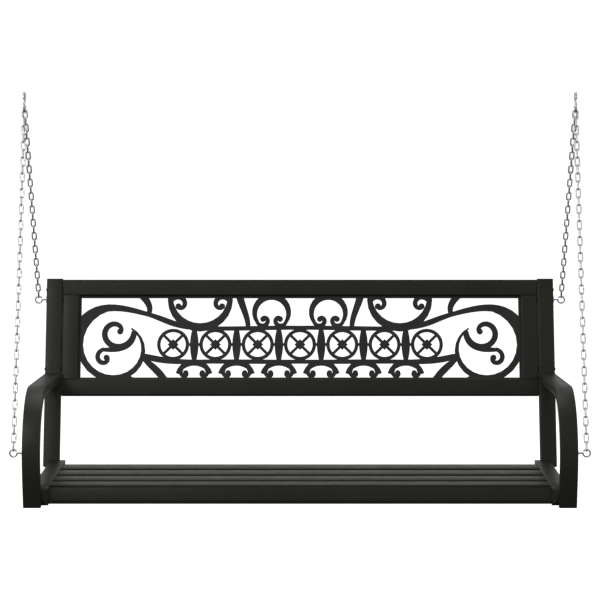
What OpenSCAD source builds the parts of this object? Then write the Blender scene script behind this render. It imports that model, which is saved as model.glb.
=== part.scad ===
// Two-seat porch swing: a powder-coated steel tube bench hung on four zinc-plated chains.
// +X is to the right seen from the front, -Y is the front and +Z is up. The two arms stand
// on z = 0, and the middle of the whole swing lies over the origin.

/* [Frame] */
// Width over the outer faces of the arms and posts
frame_w = 1250; // [1150:10:1500]
// Width of the frame tubes, seen from the front
tube_w = 40; // [38:1:42]
// Depth of the frame tubes
tube_t = 20; // [20:1:22]
// Wall of the post, arm and seat rail tubes
tube_wall = 1.5; // [1.2:0.1:2]
// Corner radius of the frame tubes
tube_r = 3; // [2:0.5:4]
// Gap between a post and the back frame
side_gap = 1.2; // [0.8:0.1:2]

/* [Back] */
// Angle that the back leans from upright
back_lean = 19.9; // [15:0.5:24]
// Length of a post along its lean
post_len = 467; // [440:1:500]
// Height of the back frame along its lean
back_h = 290; // [270:1:300]
// Wall of the back frame tubes
back_wall = 1.2; // [1:0.1:1.5]
// Thickness of the pierced panel
panel_t = 1.5; // [1.5:0.1:3]
// Width of the plain border round the pierced panel
panel_border = 5; // [4:0.5:8]

/* [Arms] */
// Radius of the arm's outer bend
arm_r = 157; // [150:1:165]
// Height of the arm's top
arm_top = 254.5; // [245:0.5:265]
// Angle that the arm's foot leans from upright
foot_lean = 9; // [6:0.5:11]
// Fall of the arm towards the back
arm_fall = 4.8; // [3:0.2:6]
// Height of the front chain eye
front_eye_h = 126.5; // [110:0.5:140]

/* [Seat] */
// Width of a side rail
rail_w = 38; // [36:1:40]
// Height of the rails at the front edge
seat_h = 44; // [42:0.5:46]
// Outer radius of the rail's nose
nose_r = 32; // [30:1:33]
// Slope of the seat at its front edge
front_slope = 4.5; // [4:0.1:5]
// Radius of the seat's hollow, front to back
dish_r = 8490; // [7000:10:12000]
// Width of a top slat
slat_w = 65; // [60:1:68]
// Thickness of a top slat
slat_t = 14; // [12:1:16]
// Spacing of the top slats
slat_pitch = 94; // [90:1:96]
// Number of top slats
slats = 4; // [4:1:4]
// Wall of the slats
slat_wall = 1.0; // [1:0.1:1.5]
// Height of the front slat
front_slat_h = 36.5; // [34:0.5:40]

/* [Chains] */
// Wire diameter of the chain
link_wire = 3.4; // [3.2:0.1:3.6]
// Outer width of a link
link_w = 12.9; // [12.6:0.1:13.4]
// Distance from one link to the next
link_pitch = 19.4; // [18:0.01:20]
// Links in each front chain, an even number
front_links = 42; // [40:2:46]
// Links in each rear chain, an even number
rear_links = 28; // [26:2:32]
// Wire diameter of the eye bolts
eye_wire = 4; // [3.5:0.1:4.4]
// Outer diameter of the eyes
eye_d = 20.5; // [20:0.1:22]
// Wire diameter of the S-hooks
hook_wire = 4.6; // [4:0.1:4.8]
// Radius of the S-hook's loops, to the middle of the wire
hook_r = 11.3; // [11:0.1:12]

/* [Hidden] */

$fn = 32;
far = 2000;                              // longer than anything here
black = "#26271f";
panel_black = "#303030";
plastic = "#1c1c1c";
zinc = "#b4b8bc";

// The frame, seen from the side. All of it is drawn with the foot of the arm's front face at y = 0.
half_w = frame_w / 2;
post_in = half_w - tube_w;               // inner face of a post
post_x = half_w - tube_w / 2;            // middle of a post and of an arm
post_foot = [449, 8];                    // lower front corner of a post
cap_t = 2;                               // flange of a cap
plug_wall = 1.6;
plug_ease = 0.3;                         // of the plug in its tube
corner_steps = 3;                        // facets in a tube's rounded corner

// The back frame
back_half = post_in - side_gap;
open_half = back_half - tube_w;          // half the width of the back's opening
back_top = post_len - cap_t;
back_bottom = back_top - back_h;
open_h = back_h - 2 * tube_w;            // height of the back's opening
end_plate = 2;                           // plates that close the rails' ends

// The arm
arm_c = [(arm_r - sin(foot_lean) * (arm_top - arm_r)) / cos(foot_lean), arm_top - arm_r];
arm_mid = arm_r - tube_t / 2;

// The seat
rail_in = 570 + (frame_w - 1250) / 2;
nose_c = [(tube_t + nose_r - sin(foot_lean) * (seat_h - nose_r)) / cos(foot_lean), seat_h - nose_r];
dish_c = nose_c + (dish_r + nose_r) * [sin(front_slope), cos(front_slope)];
slat_drop = 2;                           // the slats' tops lie this much below the rails' tops
slat_edge = 2.5;                         // rounding of a slat's long edges
slat_start = 37;                         // from the nose to the middle of the first slat
front_slat_y = 24;                       // upper edge of the front slat
front_slat_top = 42;
front_slat_t = 3;
front_slat_fold = [-5.2, -27];           // from its upper edge to the fold over its lip
front_slat_end = -3.7;                   // from its upper edge to its lower one, front to back
brace_w = 25;
brace_t = 4;

// The eyes
eye_out = 19.7;                          // from the frame's side to the middle of an eye
eye_x = half_w + eye_out;
eye_r = (eye_d - eye_wire) / 2;
eye_sweep = 320;
eye_down = 51;                           // from a post's top to its eye
washer_t = 1.2;
front_eye = [arm_c.x - sqrt(arm_mid * arm_mid - pow(front_eye_h - arm_c.y, 2)), front_eye_h];
rear_eye = post_foot + (post_len - eye_down) * [sin(back_lean), cos(back_lean)]
    + tube_t / 2 * [cos(back_lean), -sin(back_lean)];

// The chains run straight from the top of an eye to the lower loop of a hook.
gap = 0.3;                               // between a link and the wire that it hangs on
link_gap = 0.2;                          // between one link and the next
link_r = (link_w - link_wire) / 2;
link_in = link_pitch + link_gap;         // inner length of a link
link_straight = link_in + link_wire - 2 * link_r;
hook_reach = hook_r - hook_wire / 2 - link_wire / 2 - gap;
eye_reach = eye_wire / 2 + link_wire / 2 + gap;
function leg(links) = hook_reach - eye_reach + link_in + link_wire + (links - 1) * link_pitch;
front_hang = front_eye + [0, eye_r];     // where a chain pulls on an eye
rear_hang = rear_eye + [0, eye_r];
span = norm(rear_hang - front_hang);
along = (rear_hang - front_hang) / span;
run = (pow(leg(front_links), 2) - pow(leg(rear_links), 2) + span * span) / (2 * span);
rise = sqrt(pow(leg(front_links), 2) - run * run);
pivot = front_hang + run * along + rise * [-along.y, along.x];

// Everything is moved so that the middle of the swing is over the origin.
front_most = arm_c.x - arm_r;
rear_most = post_foot.x + post_len * sin(back_lean) + tube_t * cos(back_lean);
y_shift = -(front_most + rear_most) / 2;

// Screws and bolts
screw_d = 5;
screw_head_d = 8.6;
screw_head_h = 2.5;
screw_reach = 52;
screw_from_top = [26, 225];
bolt_d = 8;
bolt_head_d = 13;
bolt_head_h = 5.3;
arm_bolt_z = 218;                        // along the post
nut_h = 4;
bolt_past = 9;                           // of the arm bolt, past the front of the post
rail_screw_l = 15;
front_eye_reach = 24;                    // of the eye bolts, past the side of the frame
rear_eye_reach = 64;
screw_spacer_d = 12;
eye_spacer_d = 14;
front_washer_d = 12;
rear_washer_d = 18;
screw_nut = 9;                           // across the flats
eye_nut = 8;
corners = 1.155;                         // a hexagon's width over its corners, for 1 over its flats
clear = 0.3;                             // round a screw in its hole
over = 1;                                // that a cut runs past a face

// --- Shapes that repeat ---

// Moves the side view to its place in the whole swing
module placed() translate([0, y_shift, 0]) children();

// Draws on the plane of the side view: x goes to the back, y goes up and z to +X
module side_view(x) translate([x, 0, 0]) rotate([90, 0, 90]) children();

// A frame that leans with the back: z runs up the posts and y goes to the rear
module leaning() translate([0, post_foot.x, post_foot.y]) rotate([-back_lean, 0, 0]) children();

module both_sides() {
    children();
    mirror([1, 0, 0]) children();
}

module on_side(side) {
    if (side > 0) children();
    else mirror([1, 0, 0]) children();
}

function at(c, r, a) = c + r * [cos(a), sin(a)];
function reverse(list) = [for (i = [len(list) - 1:-1:0]) list[i]];

// Corner points of a rectangle with rounded corners, round its middle
function rounded(w, h, r) = [for (corner = [0:3], step = [0:corner_steps])
    let (a = 90 * (corner + step / corner_steps), s = [1, -1, -1, 1], t = [1, 1, -1, -1])
    [s[corner] * (w / 2 - r) + r * cos(a), t[corner] * (h / 2 - r) + r * sin(a)]];

module tube_section(w, h, wall, r = tube_r) difference() {
    polygon(rounded(w, h, r));
    polygon(rounded(w - 2 * wall, h - 2 * wall, max(r - wall, 0.5)));
}

// One edge of a bent tube in the side view: a straight run, an arc round c and another straight run
function bent(c, r, from, to, before, after, steps) = [
    at(c, r, from) + before * [sin(from), -cos(from)],
    for (i = [0:steps]) at(c, r, from + (to - from) * i / steps),
    at(c, r, to) + after * [-sin(to), cos(to)]];

// The same as an area, between radius r - t / 2 and r + t / 2
module bent_area(c, r, t, from, to, before, after, steps)
    polygon(concat(bent(c, r + t / 2, from, to, before, after, steps),
        reverse(bent(c, r - t / 2, from, to, before, after, steps))));

// A round bar along +X
module bar(x, d, length) translate([x, 0, 0]) rotate([0, 90, 0]) cylinder(d = d, h = length);

module domed_head(d, h) {
    ball = (d * d / 4 + h * h) / (2 * h);
    difference() {
        intersection() {
            translate([0, 0, h - ball]) sphere(ball);
            cylinder(d = d, h = h);
        }
        translate([0, 0, h / 2]) cylinder(d = d / 2.6, h = h, $fn = 6);
    }
}

module at_front_eye() translate([0, front_eye.x, front_eye.y]) children();
module at_rear_eye() translate([0, rear_eye.x, rear_eye.y]) children();

// --- Back ---

module post(side) color(black) placed() on_side(side) difference() {
    leaning() translate([post_x, tube_t / 2, cap_t])
        linear_extrude(post_len - 2 * cap_t) tube_section(tube_w, tube_t, tube_wall);
    at_rear_eye() bar(post_in - over, eye_wire + 2 * clear, tube_w + 2 * over);
    leaning() for (down = screw_from_top) translate([0, tube_t / 2, post_len - down])
        bar(post_in - over, screw_d + 2 * clear, tube_w + 2 * over);
    leaning() translate([post_x, -over, arm_bolt_z]) rotate([-90, 0, 0])
        cylinder(d = bolt_d + 2 * clear, h = tube_t + 2 * over);
}

// The hollow plug of a cap, which fits in a frame tube
module plug(length) linear_extrude(length) difference() {
    w = tube_w - 2 * tube_wall - plug_ease;
    t = tube_t - 2 * tube_wall - plug_ease;
    polygon(rounded(w, t, tube_r - tube_wall));
    polygon(rounded(w - 2 * plug_wall, t - 2 * plug_wall, 0.5));
}

module post_cap() {
    linear_extrude(cap_t) polygon(rounded(tube_w, tube_t, tube_r));
    translate([0, 0, cap_t / 2]) plug(12);
}

module post_caps() color(plastic) placed() both_sides() leaning()
    translate([post_x, tube_t / 2, 0]) {
        post_cap();
        translate([0, 0, post_len]) mirror([0, 0, 1]) post_cap();
    }

module back_rail(z) color(black) placed() leaning() translate([0, tube_t / 2, z + tube_w / 2])
    difference() {
        union() {
            rotate([0, 90, 0]) translate([0, 0, -back_half + end_plate])
                linear_extrude(2 * (back_half - end_plate)) tube_section(tube_w, tube_t, back_wall);
            both_sides() rotate([0, 90, 0]) translate([0, 0, back_half - end_plate])
                linear_extrude(end_plate) polygon(rounded(tube_w, tube_t, tube_r));
        }
        both_sides() translate([0, 0, back_top - z - tube_w / 2 - (screw_from_top[0] - cap_t)])
            bar(back_half - end_plate - over, screw_d + 2 * clear, end_plate + 2 * over);
    }

module back_stile(side) color(black) placed() on_side(side) difference() {
    leaning() translate([open_half + tube_w / 2, tube_t / 2, back_bottom + tube_w])
        linear_extrude(open_h) tube_section(tube_w, tube_t, back_wall);
    at_rear_eye() bar(back_half - 3 * back_wall, eye_wire + 2 * clear, 4 * back_wall);
    leaning() translate([0, tube_t / 2, post_len - screw_from_top[1]])
        bar(back_half - 3 * back_wall, screw_d + 2 * clear, 4 * back_wall);
}

module back_frame_screws() color(black) placed() both_sides() leaning()
    for (down = screw_from_top) translate([0, tube_t / 2, post_len - down]) {
        translate([half_w, 0, 0]) rotate([0, 90, 0]) domed_head(screw_head_d, screw_head_h);
        bar(half_w - screw_reach, screw_d, screw_reach + screw_head_h / 4);
    }

module spacer(d_in, d_out) difference() {
    bar(back_half, d_out, side_gap);
    bar(back_half - over, d_in, side_gap + 2 * over);
}

module frame_spacers() color(plastic) placed() both_sides() {
    leaning() for (down = screw_from_top) translate([0, tube_t / 2, post_len - down])
        spacer(screw_d + 2 * clear, screw_spacer_d);
    at_rear_eye() rotate([-back_lean, 0, 0]) spacer(eye_wire + 2 * clear, eye_spacer_d);
}

// A nut on a bar along +X
module nut(x, d, across) difference() {
    translate([x, 0, 0]) rotate([0, 90, 0]) cylinder(d = across * corners, h = nut_h, $fn = 6);
    bar(x - over, d, nut_h + 2 * over);
}

module frame_nuts() color(zinc) placed() both_sides() leaning() {
    translate([0, tube_t / 2, post_len - screw_from_top[0]])
        nut(back_half - end_plate - nut_h, screw_d, screw_nut);
    translate([0, tube_t / 2, post_len - screw_from_top[1]])
        nut(back_half - back_wall - nut_h, screw_d, screw_nut);
}

// --- Pierced panel ---

curve_step = 15;                         // degrees of bend in one facet of the scrolls
function mix(a, b, t) = a + (b - a) * t;
function swell(w, t) = mix(w[0], w[1], t) + w[2] * sin(180 * t);

// A scroll winds in round c from radius r[0] at angle a[0] to r[1] at a[1]. Its half width goes
// from w[0] to w[1] and swells by w[2] between, and a leaf eye of radius eye closes it.
module scroll(c, r, a, w, eye = 0) {
    steps = ceil(abs(a[1] - a[0]) / curve_step);
    polygon([
        for (i = [0:steps]) let (t = i / steps)
            at(c, mix(r[0], r[1], t) + swell(w, t), mix(a[0], a[1], t)),
        for (i = [steps:-1:0]) let (t = i / steps)
            at(c, mix(r[0], r[1], t) - swell(w, t), mix(a[0], a[1], t))]);
    if (eye > 0) translate(at(c, r[1] - eye / 2, a[1])) circle(eye, $fn = 20);
}

// A band along a cubic curve, with the same kind of half width
module band(p, w, steps = 12) {
    mid = [for (i = [0:steps]) let (t = i / steps, s = 1 - t)
        s * s * s * p[0] + 3 * s * s * t * p[1] + 3 * s * t * t * p[2] + t * t * t * p[3]];
    off = [for (i = [0:steps]) let (d = mid[min(i + 1, steps)] - mid[max(i - 1, 0)], n = norm(d))
        [-d.y, d.x] / n * swell(w, i / steps)];
    polygon([for (i = [0:steps]) mid[i] + off[i], for (i = [steps:-1:0]) mid[i] - off[i]]);
}

// A round curl on the end of a band, winding in from angle a by turn
module curl(c, r, a, turn, w = 4.5) scroll(c, [r, r * 0.4], [a, a + turn], [w, w * 0.8, 1.5], w + 2.5);

row_y = -17;                             // middle of the row of ornaments
row_r = 39;
row_step = 104;

// A wheel with four petals
module rosette() {
    difference() {
        circle(row_r, $fn = 40);
        circle(row_r - 7.5, $fn = 40);
    }
    for (a = [45, 135]) rotate(a) square([2 * row_r - 6, 6], center = true);
    rotate(45) square(18, center = true);
}

// An upright spindle between two wheels, with a tie to each
module spindle() {
    band([[0, 44], [0, 16], [0, -16], [0, -46]], [3.5, 3.5, 6.5]);
    square([row_step - 2 * row_r + 4, 6], center = true);
}

module scrollwork_half() {
    hi = open_h / 2;
    // Large scroll at the end of the panel, with curls inside it
    scroll([452, -24], [98, 60], [78, -232], [4.5, 1.5, 4.5]);
    scroll([452, 14], [44, 13], [182, 530], [6, 4.5, 1.5], 7);
    band([[408, 16], [410, -20], [442, -32], [484, -30]], [6, 4, 3]);
    curl([480, -50], 21, 85, -265);
    polygon([[400, -hi], [504, -hi], [484, -94], [420, -94]]);
    // Long band that flows inwards from the end scroll and on over the row
    band([[548, 20], [512, 96], [440, 78], [372, 58]], [12, 5, 0]);
    band([[374, 58.6], [330, 46], [310, 28], [250, 24]], [5, 4.5, 2]);
    band([[252, 24], [170, 21], [80, 26], [-1, 25]], [4.5, 4.5, 0.5]);
    // Rail under the row
    band([[384, -46], [366, -50], [330, -62], [258, -60]], [6, 4.5, 2]);
    band([[260, -60], [170, -59], [80, -61], [-1, -60]], [4.5, 4.5, 0.5]);
    for (i = [0:3]) translate([i * row_step, row_y]) rosette();
    for (i = [0:2]) translate([(i + 0.5) * row_step, row_y]) spindle();
    // Bowl between two curls above the row
    scroll([246, 100], [74, 74], [-190, 10], [5, 5, 5]);
    curl([194, 84], 22, 180, -290);
    curl([298, 84], 22, 0, 290);
    // Arch over the middle, with its ends curled in
    scroll([70, 62], [42, 42], [-34, 214], [4, 4, 4]);
    curl([50, 44], 16, 200, 270, 4);
    curl([90, 44], 16, -20, -270, 4);
    // Leaves that tie the arches, the bowls and the long band to the top
    band([[150, hi + 4], [142, 74], [126, 50], [128, 22]], [9, 5, 0]);
    band([[374, 56], [366, 74], [372, 88], [392, hi + 4]], [5, 9, 0]);
    // Small scrolls below the row
    for (x = [52, 156, 260]) {
        scroll([x, -106], [44, 44], [22, 158], [4, 4, 3.5]);
        curl([x - 22, -88], 12, 120, 250, 3.5);
        curl([x + 22, -88], 12, 60, -250, 3.5);
    }
    band([[386, -50], [372, -66], [352, -76], [330, -hi - 4]], [4, 8, 2]);
}

module panel_outline() offset(delta = 0.6) union() {
    difference() {
        square([2 * open_half - 1.2, open_h - 1.2], center = true);
        square([2 * (open_half - panel_border), open_h - 2 * panel_border], center = true);
    }
    intersection() {
        square([2 * open_half - 1.2, open_h - 1.2], center = true);
        both_sides() scrollwork_half();
    }
}

module scroll_panel() color(panel_black) placed() leaning()
    translate([0, tube_t / 2 + panel_t / 2, back_bottom + back_h / 2]) rotate([90, 0, 0])
        linear_extrude(panel_t) panel_outline();

// --- Arms ---

module arm_area(t) bent_area(arm_c, arm_mid, t, 90 - arm_fall, 180 + foot_lean, post_foot.x, arm_r, 26);

module arm(side) color(black) placed() on_side(side) difference() {
    side_view(post_in) linear_extrude(tube_w) arm_area(tube_t);
    difference() {
        side_view(post_in + tube_wall) linear_extrude(tube_w - 2 * tube_wall)
            arm_area(tube_t - 2 * tube_wall);
        // A plate closes the arm's end against the post and takes the arm bolt.
        leaning() translate([0, -arm_plate, -far / 4]) cube([far, far / 2, far / 2]);
    }
    leaning() translate([0, 0, -far / 4]) cube([far, far / 2, far / 2]);
    translate([0, -far / 4, cap_t - far / 4]) cube([far, far / 2, far / 4]);
    leaning() translate([post_x, -10, arm_bolt_z]) rotate([-90, 0, 0])
        cylinder(d = bolt_d, h = 20);
    at_front_eye() bar(half_w - 2 * tube_wall, eye_wire + 2 * clear, 4 * tube_wall);
}

arm_plate = 3;
foot_y = tube_t / 2 / cos(foot_lean) - cap_t * tan(foot_lean);
foot_t = tube_t / cos(foot_lean);        // depth of the foot's level cut

// A level flange, with its plug up the leaning tube
module arm_feet() color(plastic) placed() both_sides() translate([post_x, foot_y, 0]) {
    linear_extrude(cap_t) polygon(rounded(tube_w, foot_t, tube_r));
    difference() {
        translate([0, 0, cap_t]) rotate([foot_lean, 0, 0]) translate([0, 0, -cap_t]) plug(10);
        translate([-far / 2, -far / 2, cap_t / 2 - far]) cube(far);
    }
}

module arm_bolts() color(zinc) placed() both_sides() leaning()
    translate([post_x, tube_t, arm_bolt_z]) rotate([90, 0, 0]) {
        translate([0, 0, -bolt_head_h]) cylinder(d = bolt_head_d * corners, h = bolt_head_h, $fn = 6);
        cylinder(d = bolt_d, h = tube_t + bolt_past);
    }

// --- Seat ---

// The rail's top edge runs round the nose and back along the seat's hollow.
function rail_edge(inset) = [
    at(nose_c, nose_r - inset, 180 + foot_lean) + nose_r * [sin(foot_lean), -cos(foot_lean)],
    for (i = [0:12]) at(nose_c, nose_r - inset, mix(180 + foot_lean, 90 - front_slope, i / 12)),
    for (i = [1:10]) at(dish_c, dish_r + inset, 270 - front_slope * (1 - i / 10))];

module rail_area(wall) polygon(concat(rail_edge(wall), reverse(rail_edge(tube_t - wall))));

module seat_rail(side) color(black) placed() on_side(side) difference() {
    side_view(rail_in) linear_extrude(rail_w) rail_area(0);
    side_view(rail_in + tube_wall) linear_extrude(rail_w - 2 * tube_wall) rail_area(tube_wall);
    leaning() translate([0, 0, -far / 4]) cube([far, far / 2, far / 2]);
    translate([0, -far / 4, cap_t - far / 4]) cube([far, far / 2, far / 4]);
    at_rail_screw() translate([0, 0, -rail_screw_l]) cylinder(d = screw_d + 2 * clear, h = far / 4);
}

screw_in = 8.5;                          // from a rail's inner face to its screw
rail_screw_z = 11;

// The place of a rail screw on the nose, with z along the screw to the front
module at_rail_screw() translate([rail_in + screw_in,
    nose_c.x - sqrt(nose_r * nose_r - pow(rail_screw_z - nose_c.y, 2)), rail_screw_z])
    rotate([90 + asin((nose_c.y - rail_screw_z) / nose_r), 0, 0]) children();

module rail_screws() color(black) placed() both_sides() at_rail_screw() {
    domed_head(screw_head_d, screw_head_h);
    translate([0, 0, -rail_screw_l]) cylinder(d = screw_d, h = rail_screw_l + screw_head_h / 4);
}

// A slat lies across the rails, with the middle of its top at the origin.
module slat() rotate([0, 90, 0]) translate([slat_t / 2, 0, -rail_in])
    linear_extrude(2 * rail_in) tube_section(slat_t, slat_w, slat_wall, slat_edge);

module on_dish(distance, drop) translate([0, dish_c.x, dish_c.y])
    rotate([(front_slope - distance / dish_r * 180 / PI) * -1, 0, 0])
        translate([0, 0, -dish_r - drop]) children();

module seat_slat(i) color(black) placed() on_dish(slat_start + i * slat_pitch, slat_drop) slat();

// A strip pressed to the shape of the rails' noses, with a fold along it
module front_slat() color(black) placed() translate([-rail_in, front_slat_y, front_slat_top])
    rotate([90, 0, 90]) linear_extrude(2 * rail_in) {
        face = [[0, 0], front_slat_fold, [front_slat_end, -front_slat_h]];
        polygon(concat(face, reverse([for (p = face) p + [front_slat_t, 0]])));
    }

module seat_brace() color(black) placed() for (i = [0:slats - 2])
    on_dish(slat_start + (i + 0.5) * slat_pitch, slat_drop + slat_t)
        translate([-brace_w / 2, -slat_pitch / 2, -brace_t]) cube([brace_w, slat_pitch, brace_t]);

// --- Eye bolts ---

module eye_bolt(reach) {
    translate([eye_x, 0, 0]) rotate([90, 0, 0]) rotate([0, 0, 180]) mirror([0, 0, 1])
        rotate_extrude(angle = eye_sweep, $fn = 64) translate([eye_r, 0]) circle(d = eye_wire);
    translate([eye_x - eye_r, 0, 0]) sphere(d = eye_wire);
    bar(eye_x - eye_r - reach, eye_wire, reach);
}

module front_eye_bolt(side) color(zinc) placed() on_side(side) at_front_eye() eye_bolt(front_eye_reach);
module rear_eye_bolt(side) color(zinc) placed() on_side(side) at_rear_eye() eye_bolt(rear_eye_reach);

module washer(d) difference() {
    bar(half_w, d, washer_t);
    bar(half_w - over, eye_wire + 2 * clear, washer_t + 2 * over);
}

module eye_bolt_washers() color(zinc) placed() both_sides() {
    at_front_eye() washer(front_washer_d);
    at_rear_eye() washer(rear_washer_d);
}

module eye_bolt_nuts() color(zinc) placed() both_sides() {
    at_front_eye() nut(half_w - tube_wall - nut_h, eye_wire, eye_nut);
    at_rear_eye() nut(back_half - back_wall - nut_h, eye_wire, eye_nut);
}

// --- Chains ---

// A link along z, flat in the x-z plane, with its middle at the origin
module link() {
    for (end = [0, 180]) rotate([0, end, 0]) {
        translate([0, 0, link_straight / 2]) rotate([90, 0, 0]) rotate_extrude(angle = 180)
            translate([link_r, 0]) circle(d = link_wire, $fn = 20);
        translate([link_r, 0, -link_straight / 2])
            cylinder(d = link_wire, h = link_straight, $fn = 20);
    }
}

// Links from number first to last of the chain between the hook and hang, counted from the hook
module chain(hang, first, last) {
    lean = atan2(hang.x - pivot.x, pivot.y - hang.y);
    color(zinc) placed() translate([eye_x, pivot.x, pivot.y]) rotate([lean, 0, 0])
        for (i = [first:last])
            translate([0, 0, -hook_reach - (link_in + link_wire) / 2 - i * link_pitch])
                rotate([0, 0, 90 * (i % 2)]) link();
}

module top_links(side) on_side(side) {
    chain(front_hang, 0, 0);
    chain(rear_hang, 0, 0);
}

// --- Hooks ---

hook_sweep = 280;

// An S of round wire in the side view, with its lower loop round the origin
module hook(side) color(zinc) placed() on_side(side)
    translate([eye_x, pivot.x, pivot.y]) rotate([90, 0, 90]) for (end = [0, 1])
        translate([0, 2 * hook_r * end, 0]) rotate([0, 0, 90 + 180 * end])
            rotate_extrude(angle = hook_sweep, $fn = 72)
                translate([hook_r, 0]) circle(d = hook_wire);

post(-1);  // left_post
post(1);  // right_post
post_caps();
back_rail(back_top - tube_w);  // back_top_rail
back_rail(back_bottom);  // back_bottom_rail
back_stile(-1);  // back_left_stile
back_stile(1);  // back_right_stile
scroll_panel();
back_frame_screws();
frame_spacers();
frame_nuts();
arm(-1);  // left_arm
arm(1);  // right_arm
arm_feet();
arm_bolts();
seat_rail(-1);  // left_seat_rail
seat_rail(1);  // right_seat_rail
rail_screws();
front_slat();
seat_slat(0);  // seat_slat_1
seat_slat(1);  // seat_slat_2
seat_slat(2);  // seat_slat_3
seat_slat(3);  // seat_slat_4
seat_brace();
front_eye_bolt(-1);  // front_left_eye_bolt
front_eye_bolt(1);  // front_right_eye_bolt
rear_eye_bolt(-1);  // rear_left_eye_bolt
rear_eye_bolt(1);  // rear_right_eye_bolt
eye_bolt_washers();
eye_bolt_nuts();
top_links(-1);  // left_top_links
top_links(1);  // right_top_links
on_side(-1) chain(front_hang, 1, front_links - 1);  // front_left_chain
on_side(1) chain(front_hang, 1, front_links - 1);  // front_right_chain
on_side(-1) chain(rear_hang, 1, rear_links - 1);  // rear_left_chain
on_side(1) chain(rear_hang, 1, rear_links - 1);  // rear_right_chain
hook(-1);  // left_hook
hook(1);  // right_hook
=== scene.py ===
import math

import bmesh
import bpy
from mathutils import Matrix, Vector


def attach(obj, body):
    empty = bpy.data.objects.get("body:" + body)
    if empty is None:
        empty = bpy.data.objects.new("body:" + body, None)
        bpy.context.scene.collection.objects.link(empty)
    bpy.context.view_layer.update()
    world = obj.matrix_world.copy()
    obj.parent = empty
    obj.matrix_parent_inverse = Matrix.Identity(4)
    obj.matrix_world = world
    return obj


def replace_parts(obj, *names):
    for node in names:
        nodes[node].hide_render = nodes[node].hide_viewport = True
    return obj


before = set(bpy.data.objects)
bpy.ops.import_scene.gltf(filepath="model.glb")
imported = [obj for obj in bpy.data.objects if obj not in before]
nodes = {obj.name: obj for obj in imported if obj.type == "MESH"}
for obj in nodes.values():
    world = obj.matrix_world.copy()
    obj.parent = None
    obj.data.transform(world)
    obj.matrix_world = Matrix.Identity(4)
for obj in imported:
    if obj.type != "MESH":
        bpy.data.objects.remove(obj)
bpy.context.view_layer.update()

# --- Camera, floor and light ---
# A plain white studio. The camera stands six metres off, a little above the back and
# tipped down to it. Soft panels stand high on the left and right and hang overhead, the
# room is darker below than above, and the swing hangs 0.42 m clear of the pale floor.
camera_place = (0.0, -5.9386, 1.2153)
camera_tip = 7.5
camera_lens = 152.76
floor_size, floor_drop = 14.0, 0.42
white = (1.0, 1.0, 1.0, 1.0)
lit_middle = Vector((0.0, 0.0, 0.3))

camera_data = bpy.data.cameras.new("camera")
camera_data.lens = camera_lens
camera_data.sensor_width = 36.0
camera_data.clip_end = 60.0
camera = bpy.data.objects.new("camera", camera_data)
camera.location = camera_place
camera.rotation_euler = (math.radians(90.0 - camera_tip), 0.0, 0.0)
bpy.context.scene.collection.objects.link(camera)
bpy.context.scene.camera = camera
bpy.context.scene.view_settings.view_transform = "Standard"


def mesh_from(bm, name):
    """What was built, as a mesh."""
    mesh = bpy.data.meshes.new(name)
    bm.to_mesh(mesh)
    bm.free()
    return mesh


bm = bmesh.new()
bmesh.ops.create_grid(bm, x_segments=1, y_segments=1, size=floor_size)
bmesh.ops.translate(bm, verts=bm.verts, vec=(0.0, 0.0, -floor_drop))
floor_mesh = mesh_from(bm, "floor")
floor = bpy.data.objects.new("floor", floor_mesh)
bpy.context.scene.collection.objects.link(floor)
floor_paint = bpy.data.materials.new("floor_paint")
floor_paint.use_nodes = True
floor_shader = floor_paint.node_tree.nodes["Principled BSDF"]
floor_shader.inputs["Base Color"].default_value = (0.9, 0.9, 0.9, 1.0)
floor_shader.inputs["Roughness"].default_value = 0.9
floor_shader.inputs["Specular IOR Level"].default_value = 0.1
floor_shader.inputs["Emission Color"].default_value = white
floor_shader.inputs["Emission Strength"].default_value = 0.6
floor_mesh.materials.append(floor_paint)
floor.visible_diffuse = False
floor.visible_glossy = False

world = bpy.data.worlds.new("studio")
world.use_nodes = True
sky = world.node_tree
room = sky.nodes["Background"]
room.inputs["Color"].default_value = white
height = sky.nodes.new("ShaderNodeSeparateXYZ")
sky.links.new(sky.nodes.new("ShaderNodeTexCoord").outputs["Generated"], height.inputs["Vector"])
brighter_up = sky.nodes.new("ShaderNodeMapRange")
brighter_up.inputs["From Min"].default_value = -0.8
brighter_up.inputs["From Max"].default_value = 0.1
brighter_up.inputs["To Min"].default_value = 0.06
brighter_up.inputs["To Max"].default_value = 0.6
sky.links.new(height.outputs["Z"], brighter_up.inputs["Value"])
sky.links.new(brighter_up.outputs["Result"], room.inputs["Strength"])
backdrop = sky.nodes.new("ShaderNodeBackground")
backdrop.inputs["Color"].default_value = white
seen_or_lit = sky.nodes.new("ShaderNodeMixShader")
seen = sky.nodes.new("ShaderNodeLightPath").outputs["Is Camera Ray"]
sky.links.new(seen, seen_or_lit.inputs["Fac"])
sky.links.new(room.outputs["Background"], seen_or_lit.inputs[1])
sky.links.new(backdrop.outputs["Background"], seen_or_lit.inputs[2])
sky.links.new(seen_or_lit.outputs["Shader"], sky.nodes["World Output"].inputs["Surface"])
bpy.context.scene.world = world


def soft_panel(name, place, size, power):
    """A square light panel that faces the middle of the bench."""
    data = bpy.data.lights.new(name, "AREA")
    data.size = size
    data.energy = power
    panel = bpy.data.objects.new(name, data)
    panel.location = place
    panel.rotation_euler = (lit_middle - Vector(place)).to_track_quat("-Z", "Y").to_euler()
    bpy.context.scene.collection.objects.link(panel)


soft_panel("key_light", (-1.9, -1.9, 2.0), 1.4, 36.0)
soft_panel("fill_light", (2.8, -2.8, 1.8), 2.2, 8.0)
soft_panel("top_light", (-0.4, 1.2, 3.6), 2.0, 35.0)

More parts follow.
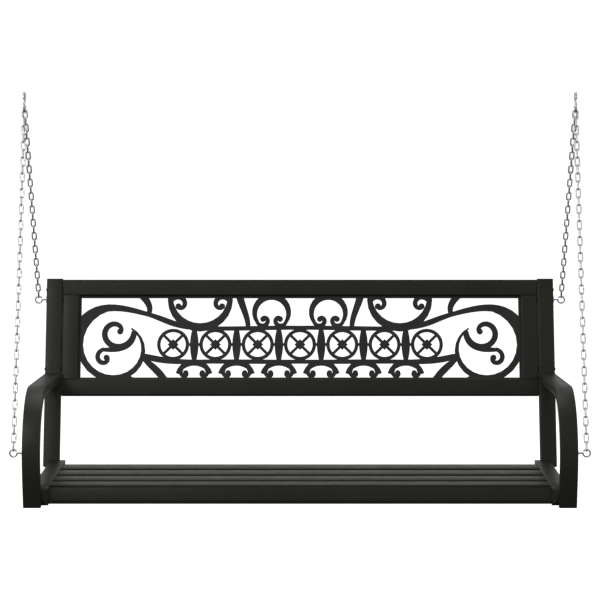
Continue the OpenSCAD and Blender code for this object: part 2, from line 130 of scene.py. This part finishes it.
# --- Posts ---
# The two uprights are 40 by 20 mm steel tube with rounded corners, drilled for the screws
# and the rear eyes. All the steelwork is blasted and powder coated black before assembly,
# which leaves a satin skin with a fine orange peel.
back_lean = math.radians(19.9)
post_foot_y, post_foot_z = 0.142361, 0.008
same_point = 0.00001


def on_back(x, y, z):
    """A point of the leaning back: z runs up the posts from their feet and y goes to the rear."""
    return Vector((x, post_foot_y + y * math.cos(back_lean) + z * math.sin(back_lean),
                   post_foot_z - y * math.sin(back_lean) + z * math.cos(back_lean)))


def noise(tree, coords, scale, detail, low, high):
    """Noise in the piece's own coordinates, spread over the range from low to high."""
    texture = tree.nodes.new("ShaderNodeTexNoise")
    texture.inputs["Scale"].default_value = scale
    texture.inputs["Detail"].default_value = detail
    tree.links.new(coords, texture.inputs["Vector"])
    spread = tree.nodes.new("ShaderNodeMapRange")
    spread.inputs["From Min"].default_value = 0.3
    spread.inputs["From Max"].default_value = 0.7
    spread.inputs["To Min"].default_value = low
    spread.inputs["To Max"].default_value = high
    tree.links.new(texture.outputs["Fac"], spread.inputs["Value"])
    return spread.outputs["Result"]


def bump_from(tree, height, depth, under=None):
    """A bump of that depth in metres, on top of another bump where there is one."""
    bump = tree.nodes.new("ShaderNodeBump")
    bump.inputs["Distance"].default_value = depth
    tree.links.new(height, bump.inputs["Height"])
    if under:
        tree.links.new(under, bump.inputs["Normal"])
    return bump.outputs["Normal"]


def drifting_colour(name, dark, light, scale):
    """A material whose colour drifts between two, with its tree, its shader and its coordinates."""
    material = bpy.data.materials.new(name)
    material.use_nodes = True
    tree = material.node_tree
    shader = tree.nodes["Principled BSDF"]
    coords = tree.nodes.new("ShaderNodeTexCoord").outputs["Object"]
    drift = tree.nodes.new("ShaderNodeMix")
    drift.data_type = "RGBA"
    drift.inputs["A"].default_value = (*dark, 1.0)
    drift.inputs["B"].default_value = (*light, 1.0)
    tree.links.new(noise(tree, coords, scale, 4.0, 0.0, 1.0), drift.inputs["Factor"])
    tree.links.new(drift.outputs["Result"], shader.inputs["Base Color"])
    return material, tree, shader, coords


def powder_coat(name, dark, light, rough, gloss, peel=0.00005):
    """Powder coat: two blacks that drift into each other, a wavy orange peel and a fine grain."""
    material, tree, shader, coords = drifting_colour(name, dark, light, 9.0)
    patchy = noise(tree, coords, 30.0, 5.0, rough - 0.04, rough + 0.05)
    tree.links.new(patchy, shader.inputs["Roughness"])
    skin = bump_from(tree, noise(tree, coords, 350.0, 1.0, 0.0, 1.0), peel)
    grain = bump_from(tree, noise(tree, coords, 1900.0, 2.0, 0.0, 1.0), peel / 4, skin)
    tree.links.new(grain, shader.inputs["Normal"])
    shader.inputs["Specular IOR Level"].default_value = gloss
    return material


frame_coat = powder_coat("frame_powder_coat", (0.0112, 0.0115, 0.0074), (0.0140, 0.0144, 0.0094),
                         0.42, 0.18)


def finish_piece(name, mesh, material, body="bench"):
    """Shades a mesh smooth up to its edges and puts it in place as one piece of a body."""
    mesh.materials.clear()
    mesh.materials.append(material)
    mesh.shade_smooth()
    mesh.set_sharp_from_angle(angle=math.radians(35.0))
    piece = bpy.data.objects.new(name, mesh)
    bpy.context.scene.collection.objects.link(piece)
    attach(piece, body)
    return piece


def finished_copy(node, name, material, round_off=0.0, segments=3, body="bench", angle=50.0):
    """A copy of a CAD piece, merged and with its sharp edges rounded off, which stands for it."""
    bm = bmesh.new()
    bm.from_mesh(nodes[node].data)
    bmesh.ops.remove_doubles(bm, verts=bm.verts, dist=same_point)
    bmesh.ops.dissolve_limit(bm, angle_limit=math.radians(0.5), verts=bm.verts, edges=bm.edges)
    if round_off:
        sharp = [e for e in bm.edges
                 if len(e.link_faces) == 2 and e.calc_face_angle() > math.radians(angle)]
        bmesh.ops.bevel(bm, geom=sharp, offset=round_off, offset_type="OFFSET", affect="EDGES",
                        segments=segments, profile=0.5, material=-1, clamp_overlap=True)
    piece = finish_piece(name, mesh_from(bm, name), material, body)
    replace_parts(piece, node)


for side in ("left", "right"):
    finished_copy(f"{side}_post", f"{side}_post_tube", frame_coat)

# --- Post caps ---
# Black polyethylene plugs, moulded with a finely grained flange, close both ends of the
# posts. They are pressed in by hand.
cap_plastic = powder_coat("cap_plastic", (0.005, 0.005, 0.005), (0.007, 0.007, 0.007),
                          0.55, 0.35, 0.00009)
finished_copy("post_caps", "post_cap_plugs", cap_plastic, 0.0006, 2)

# --- Back frame ---
# Two rails with closed ends and two stiles of the same tube, welded into a rectangle. The
# joints are ground flush in front and left with their beads behind and in the corners.
weld_ripple, crest_half, dip_half = 0.0016, 0.5, 0.42
for node in ("back_top_rail", "back_bottom_rail", "back_left_stile", "back_right_stile"):
    finished_copy(node, f"{node}_tube", frame_coat)


def wire_start(bm, place, along, thickness, sides):
    """An open ring of wire or weld, ready to be drawn along."""
    turned = along.to_track_quat("Z", "Y").to_matrix().to_4x4()
    made = bmesh.ops.create_circle(bm, cap_ends=False, segments=sides, radius=thickness / 2,
                                   matrix=Matrix.Translation(place) @ turned)
    return list({e for v in made["verts"] for e in v.link_edges})


def wire_run(bm, ring, step, swell=1.0):
    """Draws the wire on by a straight step, to swell times its thickness."""
    grown = bmesh.ops.extrude_edge_only(bm, edges=ring)["geom"]
    verts = [v for v in grown if isinstance(v, bmesh.types.BMVert)]
    bmesh.ops.translate(bm, verts=verts, vec=step)
    middle = sum((v.co for v in verts), Vector()) / len(verts)
    bmesh.ops.scale(bm, verts=verts, vec=(swell, swell, swell), space=Matrix.Translation(-middle))
    held = set(verts)
    return [e for e in grown if isinstance(e, bmesh.types.BMEdge) and held.issuperset(e.verts)]


def weld_bead(bm, start, end, width):
    """A rippled bead of weld from start to end, tapered at both ends."""
    run = end - start
    steps = max(6, round(run.length / weld_ripple))
    ring = wire_start(bm, start, run, width / 2, 8)
    ends = list(ring)
    size = width / 4
    for i in range(1, steps + 1):
        wanted = width / 4 if i == steps else width * (crest_half if i % 2 else dip_half)
        ring = wire_run(bm, ring, run / steps, wanted / size)
        size = wanted
    bmesh.ops.holes_fill(bm, edges=ends + ring)


def weld_piece(name, beads, width):
    """All the beads of one kind of joint, as one piece in the frame's coat."""
    bm = bmesh.new()
    for start, end in beads:
        weld_bead(bm, start, end, width)
    bmesh.ops.recalc_face_normals(bm, faces=bm.faces)
    finish_piece(name, mesh_from(bm, name), frame_coat)


stile_in, stile_out = 0.5438, 0.5838
stile_low, stile_high = 0.215, 0.425
tube_depth, tube_round = 0.020, 0.003
bead_in, corner_weld = 0.0004, 0.0036
corner_beads = []
for x_in, x_out in ((stile_in, stile_out), (-stile_in, -stile_out)):
    for z in (stile_low + bead_in, stile_high - bead_in):
        corner_beads.append((on_back(x_in, tube_depth, z), on_back(x_out, tube_depth, z)))
        corner_beads.append((on_back(x_in, tube_round, z), on_back(x_in, tube_depth - tube_round, z)))
weld_piece("back_frame_welds", corner_beads, corner_weld)

# --- Pierced panel ---
# Scrollwork cut by laser from 1.5 mm sheet and coated in a flatter black than the tubes.
# It stands in the middle of the back frame's depth, held from behind by short welds.
panel_coat = powder_coat("panel_powder_coat", (0.013, 0.013, 0.013), (0.017, 0.017, 0.017),
                         0.62, 0.28, 0.00003)
finished_copy("scroll_panel", "scroll_panel_sheet", panel_coat, 0.0002, 1)

panel_back = 0.01075
half_tack, tack_in, tack_weld = 0.008, 0.0006, 0.0032
tacks = []
for x in (-0.46, -0.276, -0.092, 0.092, 0.276, 0.46):
    for z in (stile_low + tack_in, stile_high - tack_in):
        tacks.append((on_back(x - half_tack, panel_back, z), on_back(x + half_tack, panel_back, z)))
for x in (-stile_in + tack_in, stile_in - tack_in):
    for z in (0.27, 0.37):
        tacks.append((on_back(x, panel_back, z - half_tack), on_back(x, panel_back, z + half_tack)))
weld_piece("panel_tacks", tacks, tack_weld)

# --- Screws, spacers and nuts of the back ---
# Domed screws with a hexagon socket, blacked like the frame, run from the sides of the
# posts through nylon spacers into the back frame, with plain nuts inside its tubes.
screw_black = powder_coat("screw_black", (0.006, 0.006, 0.006), (0.009, 0.009, 0.009),
                          0.33, 0.4, 0.00001)
finished_copy("back_frame_screws", "back_screws", screw_black, 0.0003, 2)
finished_copy("frame_spacers", "nylon_spacers", cap_plastic, 0.0002, 2)


def zinc_plate(name, dark, light, rough):
    """Bright zinc over steel: bluish grey metal, slightly clouded and finely tumbled."""
    material, tree, shader, coords = drifting_colour(name, dark, light, 160.0)
    shader.inputs["Metallic"].default_value = 1.0
    patchy = noise(tree, coords, 400.0, 4.0, rough - 0.08, rough + 0.1)
    tree.links.new(patchy, shader.inputs["Roughness"])
    tumbled = bump_from(tree, noise(tree, coords, 900.0, 3.0, 0.0, 1.0), 0.00002)
    tree.links.new(tumbled, shader.inputs["Normal"])
    return material


bolt_zinc = zinc_plate("bolt_zinc", (0.40, 0.41, 0.43), (0.54, 0.55, 0.56), 0.30)
finished_copy("frame_nuts", "back_nuts", bolt_zinc, 0.0003, 2)

# --- Arms ---
# Each arm is one length of tube, drawn into a wide bend of about 150 mm radius, cut level
# at the foot and square against the post, where a plate closes it.
for side in ("left", "right"):
    finished_copy(f"{side}_arm", f"{side}_arm_tube", frame_coat, tube_round)
finished_copy("arm_feet", "arm_foot_plugs", cap_plastic, 0.0006, 2)
finished_copy("arm_bolts", "arm_hex_bolts", bolt_zinc, 0.0005, 2)

# --- Seat rails ---
# Two side rails of tube, bent down over a short nose behind the arms, which a domed screw
# joins them to. Their rear ends are cut to the lean of the posts and welded to them.
for side in ("left", "right"):
    finished_copy(f"{side}_seat_rail", f"{side}_seat_rail_tube", frame_coat,
                  tube_round)
finished_copy("rail_screws", "nose_screws", screw_black, 0.0003, 2)

# --- Seat slats ---
# Four flat slats of thin rolled tube and a front slat pressed from 3 mm strip to the shape of
# the rails' noses, butted between the rails and welded, with a flat bar along the middle.
for i in range(1, 5):
    finished_copy(f"seat_slat_{i}", f"slat_{i}_tube", frame_coat)
finished_copy("front_slat", "front_slat_strip", frame_coat, 0.0008, 2, angle=8.0)
finished_copy("seat_brace", "seat_brace_bar", frame_coat, 0.0006, 2)

dish_y, dish_z, dish_radius = 0.41274, 8.50773, 8.490
front_slope = math.radians(4.5)
slat_count, first_slat, slat_step = 4, 0.037, 0.094
slat_half, slat_thick, slat_end, slat_drop = 0.0325, 0.014, 0.5696, 0.002
slat_edge, bead_low, slat_weld = 0.004, 0.003, 0.0030
strip_low, strip_high = (-0.2844, 0.0165), (-0.2798, 0.040)


def on_slat(i, x, y, z):
    """A point of slat i from the front: y goes to the rear across it and z up from its top."""
    turn = front_slope - (first_slat + slat_step * i) / dish_radius
    reach = dish_radius + slat_drop - z
    return Vector((x, dish_y + y * math.cos(turn) - reach * math.sin(turn),
                   dish_z - y * math.sin(turn) - reach * math.cos(turn)))


slat_beads = []
for i in range(slat_count):
    for x in (-slat_end, slat_end):
        slat_beads.append((on_slat(i, x, slat_edge - slat_half, -slat_thick),
                           on_slat(i, x, slat_half - slat_edge, -slat_thick)))
        for y in (-slat_half, slat_half):
            slat_beads.append((on_slat(i, x, y, bead_low - slat_thick), on_slat(i, x, y, -slat_edge)))
for x in (-slat_end, slat_end):
    slat_beads.append((Vector((x, *strip_low)), Vector((x, *strip_high))))
weld_piece("slat_welds", slat_beads, slat_weld)

# --- Eye bolts ---
# Bent from 4 mm rod into an eye that is nearly closed, threaded with a 0.7 mm pitch and
# zinc plated. A washer seats each on the frame and a plain nut holds it inside the tube.
eye_x, eye_radius, eye_wire = 0.6447, 0.00825, 0.004
eye_sweep = math.radians(320.0)
neck_length, neck_shoulder, neck_swell, thread_start = 0.0036, 0.0004, 0.82, 0.0038
tip_straight = 0.0002
thread_pitch, thread_depth, thread_steps = 0.0007, 0.00036, 12
up, to_rear, to_right = Vector((0.0, 0.0, 1.0)), Vector((0.0, 1.0, 0.0)), Vector((1.0, 0.0, 0.0))
eye_places = {"front": ((-0.307236, 0.1265), 0.024), "rear": ((0.293361, 0.395756), 0.064)}


def wire_bend(bm, ring, centre, axis, angle, steps):
    """Bends the wire on round a centre."""
    verts = list({v for e in ring for v in e.verts})
    spun = bmesh.ops.spin(bm, geom=verts + ring, cent=centre, axis=axis, angle=angle, steps=steps,
                          use_merge=False, use_duplicate=False)
    return [e for e in spun["geom_last"] if isinstance(e, bmesh.types.BMEdge)]


def wire_end(bm, ring, along, thickness):
    """Rounds the wire off and closes it."""
    gone, size = 0.0, 1.0
    for turn in (30.0, 55.0, 75.0):
        reach, left = math.sin(math.radians(turn)), math.cos(math.radians(turn))
        ring = wire_run(bm, ring, along * thickness / 2 * (reach - gone), left / size)
        gone, size = reach, left
    bmesh.ops.holes_fill(bm, edges=ring)


for row, ((eye_y, eye_z), reach) in eye_places.items():
    for side, hand in (("left", -1), ("right", 1)):
        bm = bmesh.new()
        root = Vector((eye_x - eye_radius, eye_y, eye_z))
        ring = wire_start(bm, root, up, eye_wire, 16)
        wire_end(bm, wire_run(bm, ring, up * tip_straight), up, eye_wire)
        last = wire_bend(bm, ring, Vector((eye_x, eye_y, eye_z)), -to_rear, eye_sweep, 40)
        wire_end(bm, last, Vector((math.sin(eye_sweep), 0.0, -math.cos(eye_sweep))), eye_wire)

        # The plain neck of the bolt
        neck = wire_start(bm, root, -to_right, eye_wire, 16)
        bmesh.ops.holes_fill(bm, edges=neck)
        ends = wire_run(bm, neck, -to_right * neck_length)
        ends = wire_run(bm, ends, -to_right * neck_shoulder, neck_swell)
        bmesh.ops.holes_fill(bm, edges=ends)

        # Its thread, one V wound round and along the rod
        turns = int((reach - thread_start) / thread_pitch)
        far_end, surface = eye_x - eye_radius - reach, eye_z + eye_wire / 2
        crest = bm.verts.new((far_end, eye_y, surface))
        groove = bm.verts.new((far_end + thread_pitch / 2, eye_y, surface - thread_depth))
        next_crest = bm.verts.new((far_end + thread_pitch, eye_y, surface))
        thread = [bm.edges.new((crest, groove)), bm.edges.new((groove, next_crest))]
        bmesh.ops.spin(bm, geom=[crest, groove, next_crest] + thread, cent=(far_end, eye_y, eye_z),
                       axis=to_right, dvec=to_right * thread_pitch / thread_steps,
                       angle=2 * math.pi * turns, steps=thread_steps * turns,
                       use_merge=False, use_duplicate=False)
        bmesh.ops.remove_doubles(bm, verts=bm.verts, dist=0.000002)
        bmesh.ops.holes_fill(bm, edges=[e for e in bm.edges if e.is_boundary])
        if hand < 0:
            bmesh.ops.scale(bm, verts=bm.verts, vec=(-1.0, 1.0, 1.0))
        bmesh.ops.recalc_face_normals(bm, faces=bm.faces)
        mesh = mesh_from(bm, f"{row}_{side}_eye")
        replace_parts(finish_piece(f"{row}_{side}_eye", mesh, bolt_zinc), f"{row}_{side}_eye_bolt")
finished_copy("eye_bolt_washers", "eye_washers", bolt_zinc, 0.00015, 2)
finished_copy("eye_bolt_nuts", "eye_nuts", bolt_zinc, 0.0002, 2)

# --- Chains ---
# Welded short-link chain of 3.4 mm wire, with the bead of its weld in one side of each
# link. Each of the four legs runs straight from an open S-hook down to an eye.
chain_zinc = zinc_plate("chain_zinc", (0.52, 0.53, 0.54), (0.66, 0.67, 0.68), 0.36)
link_wire, link_radius, link_straight, link_pitch = 0.0034, 0.00475, 0.0135, 0.0194
first_link = 0.0185
pivot_y, pivot_z = 0.027098, 0.885029
weld_rise, weld_flat, weld_swell = 0.0006, 0.0012, 1.16

bm = bmesh.new()
ring = wire_start(bm, Vector((link_radius, 0.0, -link_straight / 2)), up, link_wire, 10)
plain = link_straight / 2 - weld_rise - weld_flat / 2
for step, swell in ((plain, 1.0), (weld_rise, weld_swell), (weld_flat, 1.0),
                    (weld_rise, 1 / weld_swell), (plain, 1.0)):
    ring = wire_run(bm, ring, up * step, swell)
ring = wire_bend(bm, ring, up * link_straight / 2, to_rear, -math.pi, 8)
ring = wire_run(bm, ring, up * -link_straight)
wire_bend(bm, ring, up * -link_straight / 2, to_rear, -math.pi, 8)
bmesh.ops.remove_doubles(bm, verts=bm.verts, dist=same_point)
bmesh.ops.recalc_face_normals(bm, faces=bm.faces)
link_mesh = mesh_from(bm, "link")


def hang_links(bm, hand, row, first, last):
    """Links first to last of one leg, counted down from the hook, each a quarter turn on."""
    (eye_y, eye_z), _ = eye_places[row]
    lean = math.atan2(eye_y - pivot_y, pivot_z - eye_z - eye_radius)
    leg = Matrix.Translation((hand * eye_x, pivot_y, pivot_z)) @ Matrix.Rotation(lean, 4, "X")
    for i in range(first, last + 1):
        held = len(bm.verts)
        bm.from_mesh(link_mesh)
        bm.verts.ensure_lookup_table()
        down = Matrix.Translation((0.0, 0.0, -first_link - i * link_pitch))
        quarter = Matrix.Rotation(math.radians(90 * (i % 2)), 4, "Z")
        bmesh.ops.transform(bm, matrix=leg @ down @ quarter, verts=bm.verts[held:])


def finish_links(bm, name, node):
    """The links that were hung, as the piece that stands for a node of the CAD."""
    mesh = mesh_from(bm, name)
    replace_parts(finish_piece(name, mesh, chain_zinc), node)


for side, hand in (("left", -1), ("right", 1)):
    for row, links in (("front", 42), ("rear", 28)):
        bm = bmesh.new()
        hang_links(bm, hand, row, 1, links - 1)
        finish_links(bm, f"{row}_{side}_chain_links", f"{row}_{side}_chain")
    bm = bmesh.new()
    for row in ("front", "rear"):
        hang_links(bm, hand, row, 0, 0)
    finish_links(bm, f"{side}_first_links", f"{side}_top_links")
bpy.data.meshes.remove(link_mesh)

# --- Hooks ---
# S-hooks of 4.6 mm rod, bent cold with both loops open and their ends tumbled round. The
# lower loop carries the two chains of a side and the upper one goes over a ceiling hook.
hook_wire, hook_radius = 0.0046, 0.0113
hook_sweep = math.radians(280.0)
tip_way = Vector((0.0, -math.cos(hook_sweep), -math.sin(hook_sweep)))
for side, hand in (("left", -1), ("right", 1)):
    bm = bmesh.new()
    waist = Vector((hand * eye_x, pivot_y, pivot_z + hook_radius))
    for loop in (1, -1):
        ring = wire_start(bm, waist, to_rear, hook_wire, 16)
        ring = wire_bend(bm, ring, waist - up * hook_radius * loop, to_right, hook_sweep, 44)
        wire_end(bm, ring, tip_way * loop, hook_wire)
    bmesh.ops.remove_doubles(bm, verts=bm.verts, dist=same_point)
    bmesh.ops.recalc_face_normals(bm, faces=bm.faces)
    mesh = mesh_from(bm, f"{side}_s_hook")
    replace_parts(finish_piece(f"{side}_s_hook", mesh, bolt_zinc, "hangers"), f"{side}_hook")
